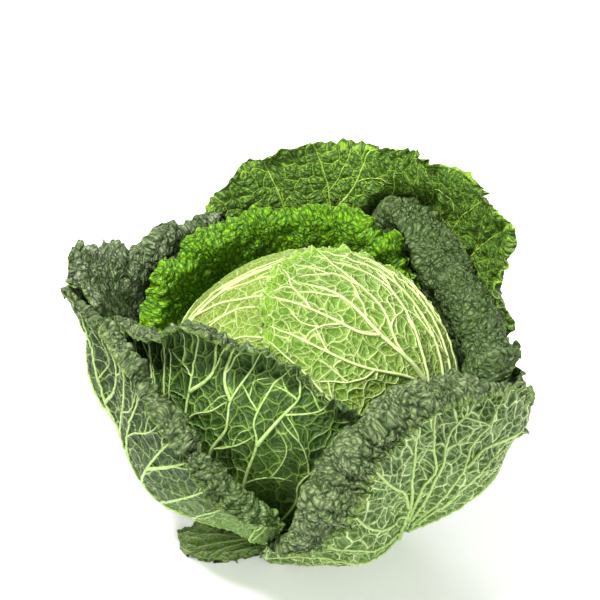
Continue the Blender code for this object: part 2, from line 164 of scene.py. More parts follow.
def stalk():
    angle = np.arange(STALK_TURNS) / STALK_TURNS * 2 * np.pi
    rings = []
    for r, z in STALK_PROFILE:
        wobble = 1 + 0.05 * np.sin(3 * angle + 0.4)
        side = np.clip(z / 3, 0, 1) * np.clip((13 - z) / 3, 0, 1)
        scar = 1 - 0.03 * side * (0.5 + 0.5 * np.sin(9 * angle + 0.7 * z)) ** 3
        x, y = r * wobble * scar * np.cos(angle), r * wobble * scar * np.sin(angle)
        rings.append(np.stack([x - z * np.tan(LEAN), y, np.full(STALK_TURNS, z)], -1))
    top = [-STALK_TOP * np.tan(LEAN), 0, STALK_TOP]
    points, faces = capped(np.array(rings), [[0, 0, 0], top])
    grown("stalk_stub", "stalk", "stalk", points, faces, [stalk_flesh()])


stalk()


# The head: a heart built here in place of the imported one, and the four leaves that wrap it. Crisp
# pale leaves pressed into a ball, each one smooth at the stalk end and netted with raised veins on its
# outer side. The leaves lap over each other, the front one last, and its free edge frills outwards.
HEAD_HEIGHT = 96.0
HEART_RADIUS = 75.4
HEAD_RADIUS = 75.0
CENTRE = np.array([0, 0, HEAD_HEIGHT])
FORM = 33
EVEN = np.linspace(0, 1, FORM)
AZIMUTHS, POLARS = 240, 120
WIDE_CELL, SMALL_CELL, TINY_CELL = 9.0, 4.6, 2.3
CELL_JITTER = 0.8
LEAF_APART = np.array([311.0, 173.0])
HEART_APART = 4000.0
NIBBLES = ((23, 0.8), (13, 1.0), (7.5, 0.9), (4.6, 0.7))
CRINKLES = ((31, 0.9), (19, 1.0), (12.5, 1.0), (8, 0.7), (5.2, 0.45))
BLADE = 0.9
LOWEST = 0.15
PILLOW, WIDE_DOME, COBBLE, BEAD = 6.0, 3.2, 2.6, 1.9
VEIN_STEP = 0.016
VEIN_TIP = 0.95
VEIN_CLEAR, VEIN_MEETS = 0.045, 0.017
RIB_STEP = 2.0
VEIN_WANDER = (0.05, 0.09, 0.16, 0.26)
RIB_SIDES = 5
HEAD_RIBS = ((2.2, 0.6), (1.0, 0.4), (0.6, 0.28), (0.4, 0.2))


def length(v):
    return np.linalg.norm(v, axis=-1)


def unit(v):
    return v / np.maximum(length(v), 1e-9)[..., None]


def smooth_step(x, low, high):
    t = np.clip((x - low) / (high - low), 0, 1)
    return t * t * (3 - 2 * t)


def dome(distance, width):
    """A round arch that rises steeply from 0 at an edge to 1 at that width."""
    return np.sqrt(1 - (1 - np.clip(distance / width, 0, 1)) ** 2)


def round_point(azimuth, radius, height):
    """A point from its azimuth in degrees, 0 at the front, and its radius and height."""
    a = np.radians(azimuth)
    return np.stack([radius * np.sin(a), -radius * np.cos(a), height + 0 * a], -1)


def head_profile(polar):
    """Radius of the head seen from its middle, against its width: round above, drawn in below."""
    low = np.clip((polar - np.pi / 2) / (np.pi / 2), 0, 1)
    return 1 - 0.17 * np.sin(low * np.pi) + 0.04 * low**2


def disc(p):
    """How far from a round leaf's middle each place is, and which way from its top, clockwise."""
    return length(p), np.arctan2(p[..., 0], p[..., 1])


def leaf_places(rows, columns):
    """A square grid laid on a round leaf, as (across, up), from fractions of its sides."""
    u, v = np.meshgrid(2 * columns - 1, 2 * rows - 1)
    return np.stack([u * np.sqrt(1 - v * v / 2), v * np.sqrt(1 - u * u / 2)], -1)


def grid_place(p, rows, columns):
    """Where places (across, up) lie on that grid, as fractional row and column."""
    x, y = p[..., 0], p[..., 1]

    def back(a, b, lines):
        whole, side = 2 + a * a - b * b, 2 * np.sqrt(2) * a
        more, less = np.sqrt(np.maximum(whole + side, 0)), np.sqrt(np.maximum(whole - side, 0))
        part = np.clip((0.5 * (more - less) + 1) / 2, 0, 1)
        return np.interp(part, lines, np.arange(len(lines)))

    return back(y, x, rows), back(x, y, columns)


def sampled(grid, i, j):
    n = grid.shape[0]
    i0, j0 = np.minimum(i.astype(int), n - 2), np.minimum(j.astype(int), n - 2)
    f, g = (i - i0)[..., None], (j - j0)[..., None]
    low = grid[i0, j0] * (1 - g) + grid[i0, j0 + 1] * g
    high = grid[i0 + 1, j0] * (1 - g) + grid[i0 + 1, j0 + 1] * g
    return low * (1 - f) + high * f


def along(g, t):
    """Rows read at fractional places t, on smooth curves through them."""
    i = np.minimum(t.astype(int), g.shape[0] - 2)
    f = (t - i).reshape(-1, *[1] * (g.ndim - 1))
    weights = (
        -0.5 * f + f**2 - 0.5 * f**3, 1 - 2.5 * f**2 + 1.5 * f**3,
        0.5 * f + 2 * f**2 - 1.5 * f**3, -0.5 * f**2 + 0.5 * f**3,
    )
    g = np.concatenate([2 * g[:1] - g[1:2], g, 2 * g[-1:] - g[-2:-1]])
    return sum(w * g[i + k] for k, w in enumerate(weights))


def finer(grid, rows, columns):
    """The grid read at other rows and columns, given as fractions of its size."""
    rows, columns = rows * (len(grid) - 1), columns * (len(grid) - 1)
    return np.swapaxes(along(np.swapaxes(along(grid, rows), 0, 1), columns), 0, 1)


def stepped(line, values, step):
    """The values that belong to a line's points, at even steps of its length."""
    way = np.concatenate([[0], np.cumsum(length(np.diff(line, axis=0)))])
    even = np.linspace(0, way[-1], max(int(way[-1] / step), 3))
    return np.stack([np.interp(even, way, values[:, c]) for c in (0, 1)], -1)


def even_lines(form, n):
    """Rows and columns of a form, as fractions of its size, that keep cells about even."""
    lines = []
    for axis in (0, 1):
        step = length(np.diff(form, axis=axis))
        run = np.percentile(step, 75, axis=1 - axis)
        run = np.maximum(run, 0.5 * run.mean())
        way = np.concatenate([[0], np.cumsum(run)])
        lines.append(np.interp(np.linspace(0, way[-1], n), way, np.linspace(0, 1, len(way))))
    return lines


def softened(a):
    b = np.pad(a, [(1, 1), (1, 1)] + [(0, 0)] * (a.ndim - 2), mode="edge")
    return (b[:-2, 1:-1] + b[2:, 1:-1] + b[1:-1, :-2] + b[1:-1, 2:] + 2 * b[1:-1, 1:-1]) / 6


def normals_of(grid):
    """Normals weighted by the cells' areas, so that the flat corner cells don't turn them."""
    cross = np.cross(np.gradient(grid, axis=1), np.gradient(grid, axis=0))
    return unit(softened(softened(cross)))


def eased(flat, form, turns):
    """Pulls the flat places until neighbours lie as far apart as they do on the leaf."""
    n = form.shape[0]
    pairs = []
    for di, dj in ((0, 1), (1, 0), (1, 1), (1, -1)):
        a = (slice(0, n - di), slice(max(-dj, 0), n - max(dj, 0)))
        b = (slice(di, n), slice(max(dj, 0), n - max(-dj, 0)))
        pairs.append((a, b, length(form[b] - form[a])))
    for _ in range(turns):
        move = np.zeros_like(flat)
        for a, b, apart in pairs:
            way = flat[b] - flat[a]
            pull = way * (0.5 * (1 - apart / np.maximum(length(way), 1e-6)))[..., None]
            move[a] += pull
            move[b] -= pull
        flat = flat + 0.3 * move
    return flat


def pressed_flat(form):
    """Places on the leaf as if it were pressed flat, in millimetres from its middle."""
    flat = None
    for step, turns in ((4, 500), (2, 300), (1, 120)):
        coarse = form[::step, ::step]
        n = len(coarse)
        even = np.linspace(0, 1, n)
        if flat is None:
            i, j = np.mgrid[0:n, 0:n] - (n - 1) / 2
            t = EVEN[:, None, None]
            rays = sampled(coarse, i * t + (n - 1) / 2, j * t + (n - 1) / 2)
            way = length(np.diff(rays, axis=0)).sum(0)
            psi = disc(leaf_places(even, even))[1]
            flat = np.stack([way * np.sin(psi), way * np.cos(psi)], -1)
        else:
            flat = finer(flat, even, even)
        flat = eased(flat, coarse, turns)
    return flat


def swayed(flat):
    """Those places moved a little, so that the veins of the net curve."""
    x, y = flat[..., 0], flat[..., 1]
    a = 1.3 * np.sin(y / 4.3 + 1.7 * np.sin(x / 7.1)) + 0.5 * np.sin(y / 1.9 + x / 2.7)
    b = 1.3 * np.sin(x / 4.7 + 1.7 * np.sin(y / 6.3)) + 0.5 * np.sin(x / 1.7 - y / 2.9)
    return flat + np.stack([a, b], -1)


def smooth_line(points):
    """A smooth curve through places given in hundredths of the leaf, in small even steps."""
    curve = along(np.array(points) / 100, np.linspace(0, len(points) - 1, 40 * len(points)))
    return stepped(curve, curve, VEIN_STEP)


def vein_tree(seed, ribs=(), sides=6, spread=62.0, fan=0.55):
    """A leaf's ribs as (places, order): the midrib, side ribs, their forks and small forks."""
    rng = np.random.default_rng(seed)
    middle = np.linspace((0, -1), (0, VEIN_TIP), 120)
    if ribs:
        middle = smooth_line(ribs[0])
    veins = [(middle, 0)]

    def march(start, angle, turn, order, longest=2.0, before=None):
        path = [np.array(start, float)]
        others = np.concatenate([vein for vein, _ in veins])
        others = others[np.hypot(*(others - start).T) > VEIN_CLEAR]
        wander = np.convolve(rng.normal(0, VEIN_WANDER[order], 220), np.ones(5) / 5, "same")
        heading = angle
        for k in range(int(longest / VEIN_STEP)):
            heading -= turn * VEIN_STEP * np.sign(heading) + wander[k]
            here = path[-1] + VEIN_STEP * np.array([np.sin(heading), np.cos(heading)])
            if np.hypot(*here) > VEIN_TIP:
                break
            path.append(here)
            if np.hypot(*(others - here).T).min() < VEIN_MEETS:
                break
        path = np.array(path)
        if before is not None:
            path = np.concatenate([before[:-1], path])
        if len(path) > 4:
            veins.append((path, order))
        return path

    def forks(path, places, low, high, hand, turn, order, longest):
        made = []
        for at in places if len(path) > 9 else ():
            k = min(int(at * (len(path) - 1)), len(path) - 3)
            heading = np.arctan2(*(path[k + 2] - path[k])) + np.radians(rng.uniform(low, high)) * hand
            made.append((march(path[k], heading, turn, order, longest), hand))
            hand = -hand
        return made

    first = []
    for points in ribs[1:]:
        line = smooth_line(points)
        way = line[-1] - line[-3]
        path = march(line[-1], np.arctan2(*way), 0.0, 1, before=line)
        first.append((path, np.sign(way[0])))
    for k in range(0 if ribs else sides):
        for side in (-1, 1):
            t = (k + (0.5 if side > 0 else 0.0) + rng.uniform(-0.1, 0.1)) / sides
            at = -0.94 + 1.75 * (1 - fan) * t + 0.25 * t * fan
            start = middle[int(np.clip((at + 1) / (VEIN_TIP + 1) * 119, 4, 110))]
            angle = side * np.radians(spread * (1.35 - (0.5 + 0.5 * fan) * t) + rng.uniform(-4, 4))
            first.append((march(start, angle, 0.75, 1), side))
    second = []
    for path, side in first:
        second += forks(path, (0.35, 0.62), 26, 42, side, 0.25, 2, 0.45)
    second += forks(middle, (0.72, 0.84), 28, 42, 1, 0.25, 2, 0.45)
    for path, side in second:
        forks(path, (0.5,), 30, 55, -side, 0.1, 3, 0.25)
    return veins


def rib_distance(flat, lines):
    """How far each place is from the nearest rib, in millimetres."""
    p = flat.reshape(-1, 2).astype(np.float32)
    a = np.concatenate([line[:-1] for line in lines]).astype(np.float32)
    b = np.concatenate([line[1:] for line in lines]).astype(np.float32)
    way = b - a
    square = np.maximum((way**2).sum(1), 1e-6)
    nearest = np.empty(len(p), np.float32)
    for k in range(0, len(p), 2048):
        v = p[k:k + 2048, None] - a[None]
        t = np.clip((v * way).sum(-1) / square, 0, 1)
        d = v - t[..., None] * way
        nearest[k:k + 2048] = np.sqrt((d * d).sum(-1).min(1))
    return nearest.reshape(flat.shape[:2])


def net_rule():
    """A node group that writes each point's distance to the edges of two nets of cells."""
    tree = bpy.data.node_groups.new("vein net", "GeometryNodeTree")
    for way in ("INPUT", "OUTPUT"):
        tree.interface.new_socket("Geometry", in_out=way, socket_type="NodeSocketGeometry")
    shape = tree.nodes.new("NodeGroupInput").outputs[0]
    place = tree.nodes.new("GeometryNodeInputPosition").outputs[0]
    for name, size, feature, output in (
        ("wide", WIDE_CELL, "DISTANCE_TO_EDGE", "Distance"),
        ("small", SMALL_CELL, "DISTANCE_TO_EDGE", "Distance"), ("odd", WIDE_CELL, "F1", "Color"),
    ):
        cells = fill(
            tree, tree.nodes.new("ShaderNodeTexVoronoi"), voronoi_dimensions="2D", feature=feature,
            Vector=place, Scale=1 / size, Randomness=CELL_JITTER,
        )
        store = tree.nodes.new("GeometryNodeStoreNamedAttribute")
        store.data_type = "FLOAT"
        shape = fill(tree, store, Geometry=shape, Name=name, Value=cells[output])[0]
    tree.links.new(shape, tree.nodes.new("NodeGroupOutput").inputs[0])
    return tree


NET_RULE = net_rule()


def cell_nets(flat):
    """Distances in millimetres to the wide and the small net, and each wide cell's chance."""
    mesh = bpy.data.meshes.new("net")
    points = np.concatenate([flat.reshape(-1, 2), np.zeros((flat.size // 2, 1))], 1)
    mesh.from_pydata(points, [], [])
    thing = placed("net", mesh)
    thing.modifiers.new("net", "NODES").node_group = NET_RULE
    done = thing.evaluated_get(bpy.context.evaluated_depsgraph_get()).data
    out = []
    for name, size in (("wide", WIDE_CELL), ("small", SMALL_CELL), ("odd", 1.0)):
        values = np.empty(len(points), np.float32)
        done.attributes[name].data.foreach_get("value", values)
        out.append(values.reshape(flat.shape[:2]) * size)
    bpy.data.objects.remove(thing)
    bpy.data.meshes.remove(mesh)
    return out


def rib_tube(centre, normal, radius, depth):
    """A tapering rib along centre that stands up on the normal's side, closed at both ends."""
    way = unit(np.gradient(centre, axis=0))
    across = unit(np.cross(way, normal))
    up = np.cross(across, way)
    angle = (np.arange(RIB_SIDES) + 0.25) / RIB_SIDES * 2 * np.pi
    below = np.minimum(radius, depth)[:, None]
    rise = np.sin(angle) * np.where(np.sin(angle) > 0, radius[:, None], below)
    reach = 1.1 * np.cos(angle) * radius[:, None]
    points = centre[:, None] + reach[..., None] * across[:, None] + rise[..., None] * up[:, None]
    fan = np.array([[0, k + 1, k] for k in range(1, RIB_SIDES - 1)])
    far = fan[:, [0, 2, 1]] + (len(centre) - 1) * RIB_SIDES
    return points.reshape(-1, 3), np.concatenate([ring_faces(len(centre), RIB_SIDES), fan, far])


def noted(piece, marks):
    """Keeps each point's place on the pressed leaf, and its rib distance, rim and stem share."""
    marks = marks.astype(np.float32)
    layer = piece.data.attributes.new("flat", "FLOAT_VECTOR", "POINT")
    layer.data.foreach_set("vector", marks[:, :3].ravel())
    for k, key in enumerate(("rib", "rim", "stem")):
        layer = piece.data.attributes.new(key, "FLOAT", "POINT")
        layer.data.foreach_set("value", np.ascontiguousarray(marks[:, 3 + k]))


def leaf_piece(
    node, slot, shape, n, seed, pocket, crinkle, rib_sizes, skins, tight=None, grooves=False,
    back_up=False, free=None, cobbles=0.66, **tree,
):
    """A fine leaf: netted pockets, a crinkled edge, and ribs that stand out behind."""
    rng = np.random.default_rng(seed)
    base = np.linspace(0, 1, 2 * FORM - 1)
    form = shape(base, base, leaf_places(base, base))
    rows, columns = even_lines(form, n)
    p = leaf_places(rows, columns)
    q, psi = disc(p)
    flat = swayed(finer(pressed_flat(form), rows, columns)) + LEAF_APART * (seed + 1)
    girth = np.hypot(*(flat - flat[n // 2, n // 2]).T).max() * 0.85

    def rippled(waves, lag=0.0):
        total = 0
        for span, share in waves:
            k = max(round(2 * np.pi * girth / span), 1)
            total = total + share * np.sin(k * psi + rng.uniform(0, 6.28) + lag)
        return total

    nibble, wave = rippled(NIBBLES), rippled(CRINKLES, 9 * (1 - q))
    stalk_end = smooth_step(p[..., 1], -1.0, -0.6)
    if free is not None:
        loose = smooth_step(np.cos(psi - np.radians(free)), 0.1, 0.6)
        wave = np.maximum(wave, -0.3) * (0.12 + 0.88 * loose)
    inset = 0.006 * crinkle * (nibble + 2) * smooth_step(q, 0.88, 1.0) * stalk_end
    grid = shape(rows, columns, p * (1 - inset)[..., None])
    out = normals_of(grid)
    if (np.sum(out * (grid - CENTRE), axis=-1).mean() < 0) != back_up:
        out = -out

    def pressed(places):
        return sampled(flat, *grid_place(places, rows, columns))

    lines = []
    for places, order in vein_tree(seed, **tree):
        places = stepped(pressed(places), places, RIB_STEP)
        lines.append((places, pressed(places), order))
    rib = rib_distance(flat, [line for _, line, order in lines])
    wide, small, odd = cell_nets(flat)

    near = np.minimum(rib, wide)
    edge = smooth_step(q, 0.7, 0.95)
    plain = smooth_step(q, cobbles, cobbles + 0.1)
    swell = 1.3 * (1 - 0.6 * edge) * (1 - np.exp(-(rib / PILLOW) ** 2))
    swell = swell + dome(near, WIDE_DOME) * (0.35 + 0.65 * odd) * (1 - plain)
    swell = swell + (1 - np.exp(-(wide / COBBLE) ** 2)) * (0.7 + 0.9 * odd) * plain
    beads = np.minimum(small, near) * (1 - plain) + np.minimum(small, rib) * plain
    swell = swell + (0.45 + 0.75 * edge) * dome(beads, BEAD)
    room = np.clip((tight(grid) - 0.3) / 0.7, 0, 1) if tight else np.ones((n, n))
    swell = swell * (0.25 + 0.75 * stalk_end) * room
    inner = grid - out * (pocket * swell - crinkle * wave * edge**2 * stalk_end)[..., None]
    thick = BLADE * (1 - 0.4 * edge)
    outer = inner + out * thick[..., None]

    points = [inner.reshape(-1, 3), outer.reshape(-1, 3)]
    index = np.arange(n * n).reshape(n, n)
    a, b, c, d = index[:-1, :-1], index[:-1, 1:], index[1:, 1:], index[1:, :-1]
    under = halves(a, b, c, d)
    ring = np.concatenate([index[0, :-1], index[:-1, -1], index[-1, :0:-1], index[:0:-1, 0]])
    rim = np.concatenate([ring, ring + n * n])[ring_faces(2, len(ring))]
    cross = np.cross(outer[:-1, 1:] - outer[:-1, :-1], outer[1:, 1:] - outer[:-1, :-1])
    if np.sum(cross * out[:-1, :-1]) < 0:
        under = under[:, ::-1]
    else:
        rim = rim[:, ::-1]
    faces = [under[:, ::-1], under + n * n, rim]
    kinds = [np.repeat([0, 1, 0], [len(under), len(under), len(rim)])]
    stem = np.exp(-((p[..., 0] ** 2 + (p[..., 1] + 1) ** 2) / 0.35))
    marks = [np.dstack([flat, 0 * q, rib, q, stem]).reshape(-1, 6)] * 2
    sheet = np.dstack([inner, outer, out, thick, room, stem])
    total = 2 * n * n
    for places, line, order in lines:
        here = sampled(sheet, *grid_place(places, rows, columns))
        inside, outside, normal, rest = np.split(here, (3, 6, 9), axis=1)
        depth, space, young = rest.T
        first, last = rib_sizes[order]
        taper = np.linspace(0, 1, len(places)) ** 0.8
        radius = first + (last - first) * taper
        radius = radius * (1 - 0.75 * smooth_step(taper, 0.92, 1.0)) * (0.6 + 0.4 * space)
        far = disc(places)[0]
        sunk = int((far < 0.9).sum()) if grooves and order < 3 else 0
        notes = np.c_[line, 0 * line, far, young]
        for side, face, share, kept, kind in (
            (outside, unit(normal), 1.0, len(places), 2), (inside, -unit(normal), 0.6, sunk, 3),
        ):
            if kept < 4:
                continue
            centre = side + 0.2 * share * radius[:, None] * face
            tube, triangles = rib_tube(
                centre[:kept], face[:kept], share * radius[:kept], 0.6 * depth[:kept],
            )
            points.append(tube)
            faces.append(triangles + total)
            kinds.append(np.full(len(triangles), kind))
            marks.append(np.repeat(notes[:kept], RIB_SIDES, axis=0))
            total += len(tube)
    points = to_world(np.concatenate(points))
    points[:, 2] = np.maximum(points[:, 2], LOWEST)
    sharp = slice(2 * len(under), 2 * len(under) + len(rim))
    piece = grown(
        node + "_fine", node, slot, points, np.concatenate(faces), skins, np.concatenate(kinds), sharp,
    )
    noted(piece, np.concatenate(marks))


def leaf_skin(name, body, vein_side_and_groove_shade, line, young, bloom, shares, face=False, rough=0.5, frill=None):
    """Living leaf: cell colours with painted shade in its sunk grooves and pits, and a net of veins,
    sunk in its face or raised on its back.
    """
    material, finish, put, ramp, blend, math = wired(name)
    wide_line, small_line, mottle, waxy = shares
    flat = put("Attribute", "Vector", attribute_name="flat")
    rib, rim, stem = (put("Attribute", "Fac", attribute_name=key) for key in ("rib", "rim", "stem"))

    def net(size, places=flat):
        return math("MULTIPLY", put(
            "TexVoronoi", "Distance", voronoi_dimensions="2D", feature="DISTANCE_TO_EDGE",
            Vector=places, Scale=1 / size, Randomness=CELL_JITTER,
        ), size)

    def noise(size):
        return put("TexNoise", Vector=flat, Scale=1 / size, Detail=5.0, Roughness=0.62)

    wobble = put("TexNoise", 1, Vector=flat, Scale=0.45, Detail=2.0)
    shaken = put("VectorMath", operation="MULTIPLY_ADD", _0=wobble, _1=(3.2, 3.2, 0.0), _2=flat)
    wide, small, tiny = net(WIDE_CELL), net(SMALL_CELL), net(TINY_CELL, shaken)
    near = math("MINIMUM", wide, rib) if wide_line > 0.2 else rib
    close = math("MINIMUM", small if face else math("ADD", small, 0.45), near)
    grain = noise(0.9)
    darker = tuple(0.5 * c for c in body)

    coats = [
        (ramp(noise(19.0), 0.38, 0.6, 0.0, mottle), darker),
        (ramp(noise(7.0), 0.45, 0.7, 0.0, waxy), bloom),
    ]
    # On a face: painted shade in the crevices of the tiny net, and bloom on the bead tops between them,
    # partly waxy bloom and partly painted highlight.
    if face:
        coats += [(ramp(tiny, 0.0, 0.5, 0.58, 0.0), vein_side_and_groove_shade), (ramp(tiny, 0.4, 0.95, 0.0, 0.36), bloom)]
    coats += [(ramp(grain, 0.35, 0.7, 0.0, 0.3), darker), (math("MULTIPLY", stem, 0.75), young)]
    if frill:
        coats.append((ramp(rim, 0.84, 0.97, 0.0, 0.85), frill))
    coats += [
        (ramp(tiny, 0.03, 0.2, 0.2 * small_line, 0.0), line),
        (ramp(small, 0.08, 0.3, small_line, 0.0), line),
        (ramp(near, 0.2, 0.52, wide_line, 0.0), line),
        (ramp(rim, 0.97, 1.0, 0.0, 0.45), line),
    ]
    # Cells go from the vein-side colour beside the veins to the body colour in their middles. On a face
    # the veins lie in sunk grooves and the vein-side colour is painted shade; on a back the cell
    # middles are sunk pits and the body colour there is painted shade.
    colour = blend(ramp(close, 0.15, 1.3), vein_side_and_groove_shade, body)
    for share, paint in coats:
        colour = blend(share, colour, paint)

    domed = math("POWER", ramp(close, 0.0, BEAD, curve="LINEAR"), 0.65)
    beads = math("POWER", ramp(tiny, 0.0, 0.8), 0.6)
    ridge = 0.0 if face else ramp(near, 0.2, 0.52, 0.28, 0.0)
    height = math("ADD", math("MULTIPLY", domed, 1.0 if face else -1.0), ridge)
    height = math("ADD", height, math("MULTIPLY", beads, 0.48 if face else -0.25))
    height = math("ADD", height, math("MULTIPLY", grain, 0.16))
    finish(
        Base_Color=colour, Normal=put("Bump", Strength=1.0, Distance=0.001, Height=height),
        Roughness=ramp(grain, 0.3, 0.75, rough - 0.08, rough + 0.12), Specular_IOR_Level=0.3,
        Subsurface_Weight=0.08, Subsurface_Radius=(0.6, 1.0, 0.2), Subsurface_Scale=0.0012,
    )
    return material


def rib_skin(name, pale, green, young):
    """The ribs' own skin: pale and moist, greener in streaks and towards the stem."""
    material, finish, put, ramp, blend, math = wired(name)
    flat = put("Attribute", "Vector", attribute_name="flat")
    stem = put("Attribute", "Fac", attribute_name="stem")
    grain = put("TexNoise", Vector=flat, Scale=0.5, Detail=5.0)
    speck = put("TexNoise", Vector=flat, Scale=3.0, Detail=3.0)
    colour = blend(ramp(grain, 0.38, 0.66), pale, green)
    finish(
        Base_Color=blend(math("MULTIPLY", stem, 0.8), colour, young),
        Normal=put("Bump", Strength=0.5, Distance=0.0004, Height=speck),
        Roughness=ramp(speck, 0.3, 0.7, 0.34, 0.52), Specular_IOR_Level=0.35,
        Subsurface_Weight=0.12, Subsurface_Radius=(0.8, 1.0, 0.4), Subsurface_Scale=0.002,
    )
    return material


# In each leaf skin below, the first colour fills the cell middles and the second lies beside the veins;
# on a face the second is painted shade in the grooves, on a back the first is painted shade in the
# pits.
HEAD_LINE = (0.56, 0.68, 0.27)
HEAD_YOUNG = (0.5, 0.66, 0.17)
HEAD_UNDER = leaf_skin(
    "head leaf outside", (0.092, 0.205, 0.009), (0.19, 0.34, 0.03), HEAD_LINE, HEAD_YOUNG,
    (0.3, 0.4, 0.075), (0.75, 0.35, 0.35, 0.35), rough=0.42, frill=(0.17, 0.34, 0.012),
)
HEAD_UPPER = leaf_skin(
    "head leaf inside", (0.18, 0.38, 0.03), (0.14, 0.32, 0.02), HEAD_LINE, HEAD_YOUNG,
    (0.42, 0.58, 0.13), (0.3, 0.2, 0.35, 0.3), True, rough=0.42, frill=(0.15, 0.34, 0.01),
)
LEFT_UNDER = leaf_skin(
    "left head leaf outside", (0.15, 0.265, 0.018), (0.26, 0.39, 0.052), (0.6, 0.69, 0.29),
    (0.5, 0.61, 0.18), (0.33, 0.41, 0.09), (0.6, 0.25, 0.3, 0.4), rough=0.42,
)
HEAD_RIB = rib_skin("head rib", (0.62, 0.71, 0.34), (0.52, 0.64, 0.22), (0.6, 0.69, 0.34))


def widened(a):
    b = np.pad(a, 1, mode="edge")
    h, w = a.shape
    return np.max([b[i:i + h, j:j + w] for i in range(3) for j in range(3)], axis=0)


def sky_of(p):
    """Which way each point lies from the head's middle, as map indices, and how far."""
    v = p - CENTRE
    r = length(v)
    polar = np.arccos(np.clip(v[..., 2] / np.maximum(r, 1e-9), -1, 1))
    azimuth = np.arctan2(v[..., 0], -v[..., 1]) % (2 * np.pi)
    i = np.minimum((polar / np.pi * POLARS).astype(int), POLARS - 1)
    j = np.minimum((azimuth / (2 * np.pi) * AZIMUTHS).astype(int), AZIMUTHS - 1)
    return i, j, r


reach = np.zeros((POLARS, AZIMUTHS))


def laid_on(form):
    """Notes how far out the leaves reach, so that the next one is laid outside them."""
    t = np.linspace(0, FORM - 1, 193)
    i, j = np.meshgrid(t, t, indexing="ij")
    i, j, r = sky_of(sampled(form, i, j))
    np.maximum.at(reach, (i, j), r)


def head_form(azimuth, polar, long, wide, radius, frill, p):
    """A round patch of the head, its margin frilled outwards."""
    b = np.radians(polar)
    middle = round_point(azimuth, np.sin(b), np.cos(b))
    up = round_point(azimuth, -np.cos(b), np.sin(b))
    across = np.cross(up, middle)
    x, y = p[..., 0] * wide / radius, p[..., 1] * long / radius
    far = np.maximum(np.hypot(x, y), 1e-9)[..., None]
    way = (x[..., None] * across + y[..., None] * up) / far
    ray = np.cos(far) * middle + np.sin(far) * way
    q, psi = disc(p)
    wavy = 0.5 + 0.3 * np.sin(17 * psi) + 0.2 * np.sin(29 * psi + 1)
    upper = np.clip((p[..., 1] + 0.3) / 0.5, 0, 1)
    lift = frill * wavy * upper * np.clip((q - 0.8) / 0.2, 0, 1) ** 2
    size = radius * head_profile(np.arccos(np.clip(ray[..., 2], -1, 1))) + lift
    return CENTRE + ray * size[..., None]


def heart():
    rows, turns = 60, 110
    polar = np.linspace(0.012, np.pi - 0.012, rows)
    b, a = np.meshgrid(polar, np.arange(turns) / turns * 2 * np.pi, indexing="ij")
    flat = np.stack([b * HEAD_RADIUS * np.sin(a), b * HEAD_RADIUS * np.cos(a)], -1) + HEART_APART
    dents = 0.6 * dome(cell_nets(flat)[0], 4)
    size = (HEART_RADIUS - 0.5) * head_profile(b) + 0.4 * np.sin(5 * a + 2 * b) - dents
    ray = round_point(np.degrees(a), np.sin(b), np.cos(b))
    caps = CENTRE + np.array([[0, 0, size[0, 0]], [0, 0, -size[-1, 0]]])
    points, faces = capped(to_world(CENTRE + ray * size[..., None]), to_world(caps))
    piece = grown("heart_of_leaves", "heart", "head_leaf", points, faces[:, ::-1], [HEAD_UNDER])
    flats = np.concatenate([flat.reshape(-1, 2), flat[0, :1], flat[-1, :1]])
    noted(piece, np.c_[flats, np.tile([0, 9, 0, 0], (len(flats), 1))])


def head_leaf(node, place, fineness, seed, pocket, crinkle, under=HEAD_UNDER, **tree):
    def shape(rows, columns, p):
        return head_form(*place, p)

    laid_on(shape(EVEN, EVEN, leaf_places(EVEN, EVEN)))
    skins = [HEAD_UPPER, under, HEAD_RIB, HEAD_RIB]
    leaf_piece(node, "head_leaf", shape, fineness, seed, pocket, crinkle, HEAD_RIBS, skins, **tree)


heart()
head_leaf("head_leaf_back", (-150, 52, 92, 78, 77.4, 0.0), 44, 20, 0.5, 0.4)
head_leaf("head_leaf_right", (145, 52, 92, 80, 80.2, 0.0), 44, 21, 0.5, 0.4)
head_leaf(
    "head_leaf_left", (-82, 50, 94, 82, 83.0, 0.6), 92, 22, 0.55, 0.4, LEFT_UNDER, sides=4,
    spread=44.0, fan=0.3,
)
head_leaf(
    "head_leaf_front", (52, 58, 88, 72, 86.0, 2.5), 138, 23, 0.95, 1.3, free=-20,
    ribs=[
        [(10, -97), (5, -30), (-9, 13), (-9, 47), (-20, 74)],
        [(-9, 13), (-22, 23), (-30, 40), (-44, 78)],
        [(0, -27), (-10, -17), (-37, 4), (-53, 28), (-68, 67)],
        [(6, -62), (-48, -34), (-70, -8), (-75, 25), (-78, 55)],
        [(4, -30), (-2, 1), (10, 25), (14, 50)],
        [(5, -35), (16, -10), (31, 20), (35, 42), (26, 66)],
        [(6, -50), (28, -32), (43, 1), (49, 36), (40, 68)],
        [(8, -68), (38, -40), (59, 3), (65, 36), (57, 70)],
        [(10, -80), (50, -49), (77, -2), (83, 30)],
        [(5, -80), (-40, -64), (-76, -40), (-85, 0)],
    ],
)


# The collar leaf. The innermost loose leaf, bright green where light comes through it, which stands
# round the back of the head with its edge rolled outwards. Its face is painted bright green all over,
# partly its own young green and partly painted light coming through it. From here on every leaf is a
# springy sheet bent through measured places, its margin rolled and ruffled.
LAYER = 5.2
FLOOR = 1.6
MARGIN = 0.25
NUDGE = 0.015
RUFFLES = ((5, 0.5), (8, 0.7), (11, 0.8), (15, 0.6))
OUTER_CRINKLE = 0.8
OUTER_RIBS = ((2.2, 0.6), (1.15, 0.45), (0.52, 0.3), (0.34, 0.22))


def springy(p, places):
    d = length(p[..., None, :] - places)
    return d * d * np.log(np.maximum(d, 1e-9))


